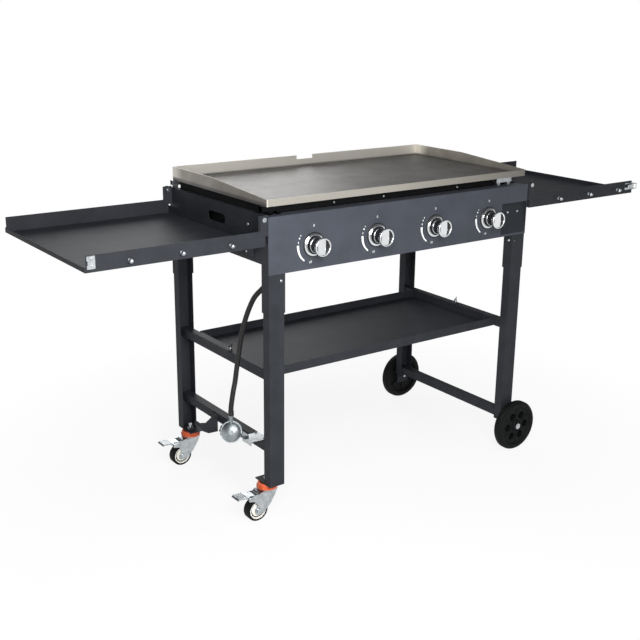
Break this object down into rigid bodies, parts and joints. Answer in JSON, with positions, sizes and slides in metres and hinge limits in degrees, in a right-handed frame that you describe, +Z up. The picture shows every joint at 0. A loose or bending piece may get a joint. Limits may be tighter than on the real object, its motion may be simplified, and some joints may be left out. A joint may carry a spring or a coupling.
{
  "type": "flat-top gas grill cart",
  "caption": "Flat-top gas grill on a wheeled cart: griddle pan over tube burners, control panel with knobs, lower tray, and side shelves that fold over the griddle and latch.",
  "frame": {"origin": "centre of the whole part's bounding box in plan, on the floor under its wheels", "axes": "+X towards the right shelf as the cook sees it, +Y towards the back of the cart, +Z up"},
  "size_m": [1.9062, 0.6006, 0.905],
  "materials": {
    "coat": "fine-textured powder coat, satin",
    "panel_coat": "smooth powder coat, satin",
    "plate_steel": "rolled steel, ground",
    "zinc": "bright zinc plate",
    "chrome": "polished",
    "black_plastic": "moulded, satin",
    "hose_rubber": "extruded, satin",
    "tyre_rubber": "moulded, matt",
    "cream_plastic": "moulded, satin",
    "orange_plastic": "moulded, satin"
  },
  "bodies": {
    "cart": {"griddle_plate": "plate_steel", "griddle_posts": "zinc", "burners": "zinc", "gas_manifold": "zinc", "gas_valves": "zinc", "regulator_bracket": "zinc", "shoulder_bolts": "zinc", "frame_screws": "zinc", "caster_stems": "zinc", "regulator": "zinc", "firebox": "coat", "left_end_panel": "coat", "right_end_panel": "coat", "left_leg_sleeves": "coat", "right_leg_sleeves": "coat", "front_left_leg": "coat", "front_right_leg": "coat", "rear_left_leg": "coat", "rear_right_leg": "coat", "left_tray_rail": "coat", "right_tray_rail": "coat", "left_crossbar": "coat", "right_crossbar": "coat", "tank_hook": "coat", "lower_tray": "coat", "shelf_brackets": "coat", "control_panel": "panel_coat", "knob_bezels": "chrome", "gas_hose": "hose_rubber", "dust_rings": "orange_plastic"},
    "left_shelf": {"left_shelf": "coat", "left_tool_pegs": "zinc", "latch_keeper": "zinc"},
    "right_shelf": {"right_shelf": "coat", "right_tool_pegs": "zinc", "latch_base": "zinc"},
    "latch_lever": {"latch_lever": "zinc"},
    "latch_loop": {"latch_loop": "zinc"},
    "front_caster": {"front_caster_fork": "zinc"},
    "rear_caster": {"rear_caster_fork": "zinc"},
    "front_caster_wheel": {"front_caster_hub": "cream_plastic", "front_caster_tyre": "tyre_rubber"},
    "rear_caster_wheel": {"rear_caster_hub": "cream_plastic", "rear_caster_tyre": "tyre_rubber"},
    "front_pedal": {"front_brake_pedal": "zinc"},
    "rear_pedal": {"rear_brake_pedal": "zinc"},
    "front_wheel": {"front_wheel": "tyre_rubber"},
    "rear_wheel": {"rear_wheel": "tyre_rubber"},
    "hand_nut": {"regulator_hand_nut": "black_plastic"},
    "left_wing_nut": {"left_wing_nut": "zinc"},
    "right_wing_nut": {"right_wing_nut": "zinc"},
    "grease_cup": {"grease_cup": "zinc"},
    "plunger_1": {"valve_plunger_1": "zinc"},
    "knob_1": {"knob_1": "black_plastic"},
    "plunger_2": {"valve_plunger_2": "zinc"},
    "knob_2": {"knob_2": "black_plastic"},
    "plunger_3": {"valve_plunger_3": "zinc"},
    "knob_3": {"knob_3": "black_plastic"},
    "plunger_4": {"valve_plunger_4": "zinc"},
    "knob_4": {"knob_4": "black_plastic"}
  },
  "joints": [
    {"name": "knob_1_push", "type": "slide", "parent": "cart", "child": "plunger_1", "axis": [0, 1, 0], "range_m": [0, 0.003], "stiffness_N_per_m": 600},
    {"name": "knob_1_turn", "type": "hinge", "parent": "plunger_1", "child": "knob_1", "pos_m": [-0.32715, -0.2763, 0.759], "axis": [0, -1, 0], "range_deg": [0, 180]},
    {"name": "knob_2_push", "type": "slide", "parent": "cart", "child": "plunger_2", "axis": [0, 1, 0], "range_m": [0, 0.003], "stiffness_N_per_m": 600},
    {"name": "knob_2_turn", "type": "hinge", "parent": "plunger_2", "child": "knob_2", "pos_m": [-0.11915, -0.2763, 0.759], "axis": [0, -1, 0], "range_deg": [0, 180]},
    {"name": "knob_3_push", "type": "slide", "parent": "cart", "child": "plunger_3", "axis": [0, 1, 0], "range_m": [0, 0.003], "stiffness_N_per_m": 600},
    {"name": "knob_3_turn", "type": "hinge", "parent": "plunger_3", "child": "knob_3", "pos_m": [0.08885, -0.2763, 0.759], "axis": [0, -1, 0], "range_deg": [0, 180]},
    {"name": "knob_4_push", "type": "slide", "parent": "cart", "child": "plunger_4", "axis": [0, 1, 0], "range_m": [0, 0.003], "stiffness_N_per_m": 600},
    {"name": "knob_4_turn", "type": "hinge", "parent": "plunger_4", "child": "knob_4", "pos_m": [0.29685, -0.2763, 0.759], "axis": [0, -1, 0], "range_deg": [0, 180]},
    {"name": "left_shelf_fold", "type": "hinge", "parent": "cart", "child": "left_shelf", "pos_m": [-0.48015, 0.0037, 0.84], "axis": [0, 1, 0], "range_deg": [0, 180]},
    {"name": "right_shelf_fold", "type": "hinge", "parent": "cart", "child": "right_shelf", "pos_m": [0.46785, 0.0037, 0.84], "axis": [0, -1, 0], "range_deg": [0, 180]},
    {"name": "latch_lever_turn", "type": "hinge", "parent": "right_shelf", "child": "latch_lever", "pos_m": [0.93985, -0.2623, 0.795], "axis": [0, 0, 1], "range_deg": [0, 100]},
    {"name": "latch_loop_turn", "type": "hinge", "parent": "latch_lever", "child": "latch_loop", "pos_m": [0.92985, -0.2665, 0.795], "axis": [0, 0, 1], "range_deg": [-115, 0]},
    {"name": "front_caster_swivel", "type": "hinge", "parent": "cart", "child": "front_caster", "pos_m": [-0.44575, -0.2113, 0.08], "axis": [0, 0, 1], "continuous": true},
    {"name": "front_caster_spin", "type": "hinge", "parent": "front_caster", "child": "front_caster_wheel", "pos_m": [-0.48275, -0.2113, 0.032], "axis": [0, 1, 0], "continuous": true},
    {"name": "front_pedal_press", "type": "hinge", "parent": "front_caster", "child": "front_pedal", "pos_m": [-0.49375, -0.2113, 0.074], "axis": [0, -1, 0], "range_deg": [0, 15]},
    {"name": "front_wheel_spin", "type": "hinge", "parent": "cart", "child": "front_wheel", "pos_m": [0.44585, -0.2743, 0.079], "axis": [0, 1, 0], "continuous": true},
    {"name": "rear_caster_swivel", "type": "hinge", "parent": "cart", "child": "rear_caster", "pos_m": [-0.44575, 0.2187, 0.08], "axis": [0, 0, 1], "continuous": true},
    {"name": "rear_caster_spin", "type": "hinge", "parent": "rear_caster", "child": "rear_caster_wheel", "pos_m": [-0.48275, 0.2187, 0.032], "axis": [0, 1, 0], "continuous": true},
    {"name": "rear_pedal_press", "type": "hinge", "parent": "rear_caster", "child": "rear_pedal", "pos_m": [-0.49375, 0.2187, 0.074], "axis": [0, -1, 0], "range_deg": [0, 15]},
    {"name": "rear_wheel_spin", "type": "hinge", "parent": "cart", "child": "rear_wheel", "pos_m": [0.44585, 0.2817, 0.079], "axis": [0, 1, 0], "continuous": true},
    {"name": "hand_nut_turn", "type": "hinge", "parent": "cart", "child": "hand_nut", "pos_m": [-0.48268, -0.06745, 0.21218], "axis": [0.5621, 0.7737, -0.2924], "continuous": true},
    {"name": "left_wing_nut_turn", "type": "hinge", "parent": "cart", "child": "left_wing_nut", "pos_m": [-0.43365, -0.0063, 0.425], "axis": [0, 0, 1], "continuous": true},
    {"name": "right_wing_nut_turn", "type": "hinge", "parent": "cart", "child": "right_wing_nut", "pos_m": [0.42135, -0.0063, 0.425], "axis": [0, 0, 1], "continuous": true},
    {"name": "grease_cup_slide", "type": "slide", "parent": "cart", "child": "grease_cup", "axis": [0, 1, 0], "range_m": [0, 0.04]}
  ],
  "couplings": [
    {"joint": "latch_loop_turn", "follows": "latch_lever_turn", "ratio": -1.15}
  ]
}
